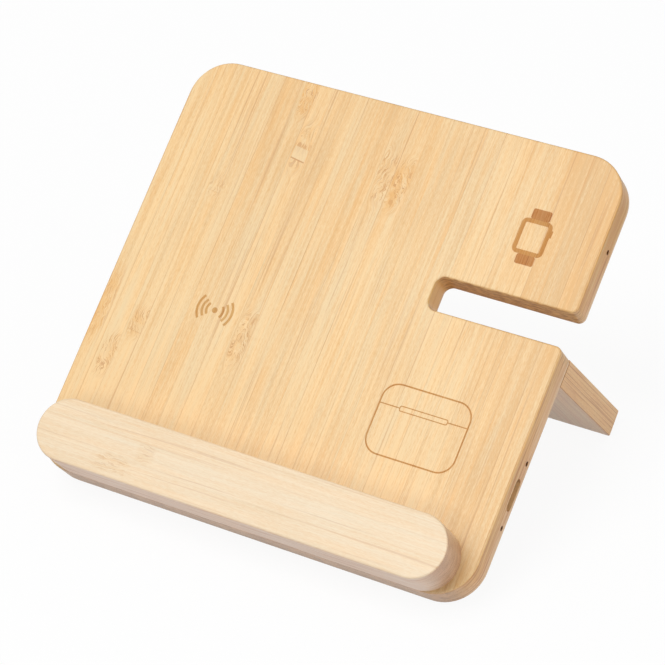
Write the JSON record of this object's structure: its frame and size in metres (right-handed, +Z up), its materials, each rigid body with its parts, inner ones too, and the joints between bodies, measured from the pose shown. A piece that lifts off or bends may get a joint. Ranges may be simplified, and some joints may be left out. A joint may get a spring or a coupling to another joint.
{
  "type": "charging station organizer",
  "caption": "Bamboo charging station organizer: leaning board on a rear leg, phone ledge, open slot for a watch strap, and wireless charging places for phone, watch and earbuds.",
  "frame": {"origin": "middle of the footprint, on the table that the rubber feet stand on", "axes": "+X to the right across the board, -Y towards the user and the ledge, +Z up"},
  "size_m": [0.2, 0.1688, 0.1253],
  "materials": {
    "board_bamboo": "satin",
    "panel_bamboo": "satin",
    "pale_bamboo": "satin",
    "leg_bamboo": "satin",
    "dowel_wood": "matte",
    "screw_steel": "satin",
    "foot_rubber": "matte",
    "copper_wire": "satin",
    "lead_insulation": "satin",
    "ferrite": "matte",
    "magnet_nickel": "polished",
    "circuit_laminate": "satin",
    "socket_steel": "satin",
    "socket_plastic": "matte",
    "chip_plastic": "matte",
    "capacitor_ceramic": "satin",
    "light_lens": "gloss"
  },
  "bodies": {
    "root": {"back_panel": "panel_bamboo", "board_feet": "foot_rubber", "controller_chip": "chip_plastic", "earbuds_coil": "copper_wire", "earbuds_ferrite": "ferrite", "earbuds_leads": "lead_insulation", "front_board": "board_bamboo", "front_lip": "pale_bamboo", "leg_dowels": "dowel_wood", "leg_feet": "foot_rubber", "lip_dowels": "dowel_wood", "lower_light": "light_lens", "main_circuit_board": "circuit_laminate", "middle_light": "light_lens", "panel_screws": "screw_steel", "phone_coil": "copper_wire", "phone_ferrite": "ferrite", "phone_leads": "lead_insulation", "power_inductor": "ferrite", "rear_leg": "leg_bamboo", "tuning_capacitors": "capacitor_ceramic", "upper_light": "light_lens", "usb_socket_shell": "socket_steel", "usb_socket_tongue": "socket_plastic", "watch_board_leads": "lead_insulation", "watch_circuit_board": "circuit_laminate", "watch_coil": "copper_wire", "watch_coil_leads": "lead_insulation", "watch_ferrite": "ferrite", "watch_magnet": "magnet_nickel"}
  },
  "joints": []
}
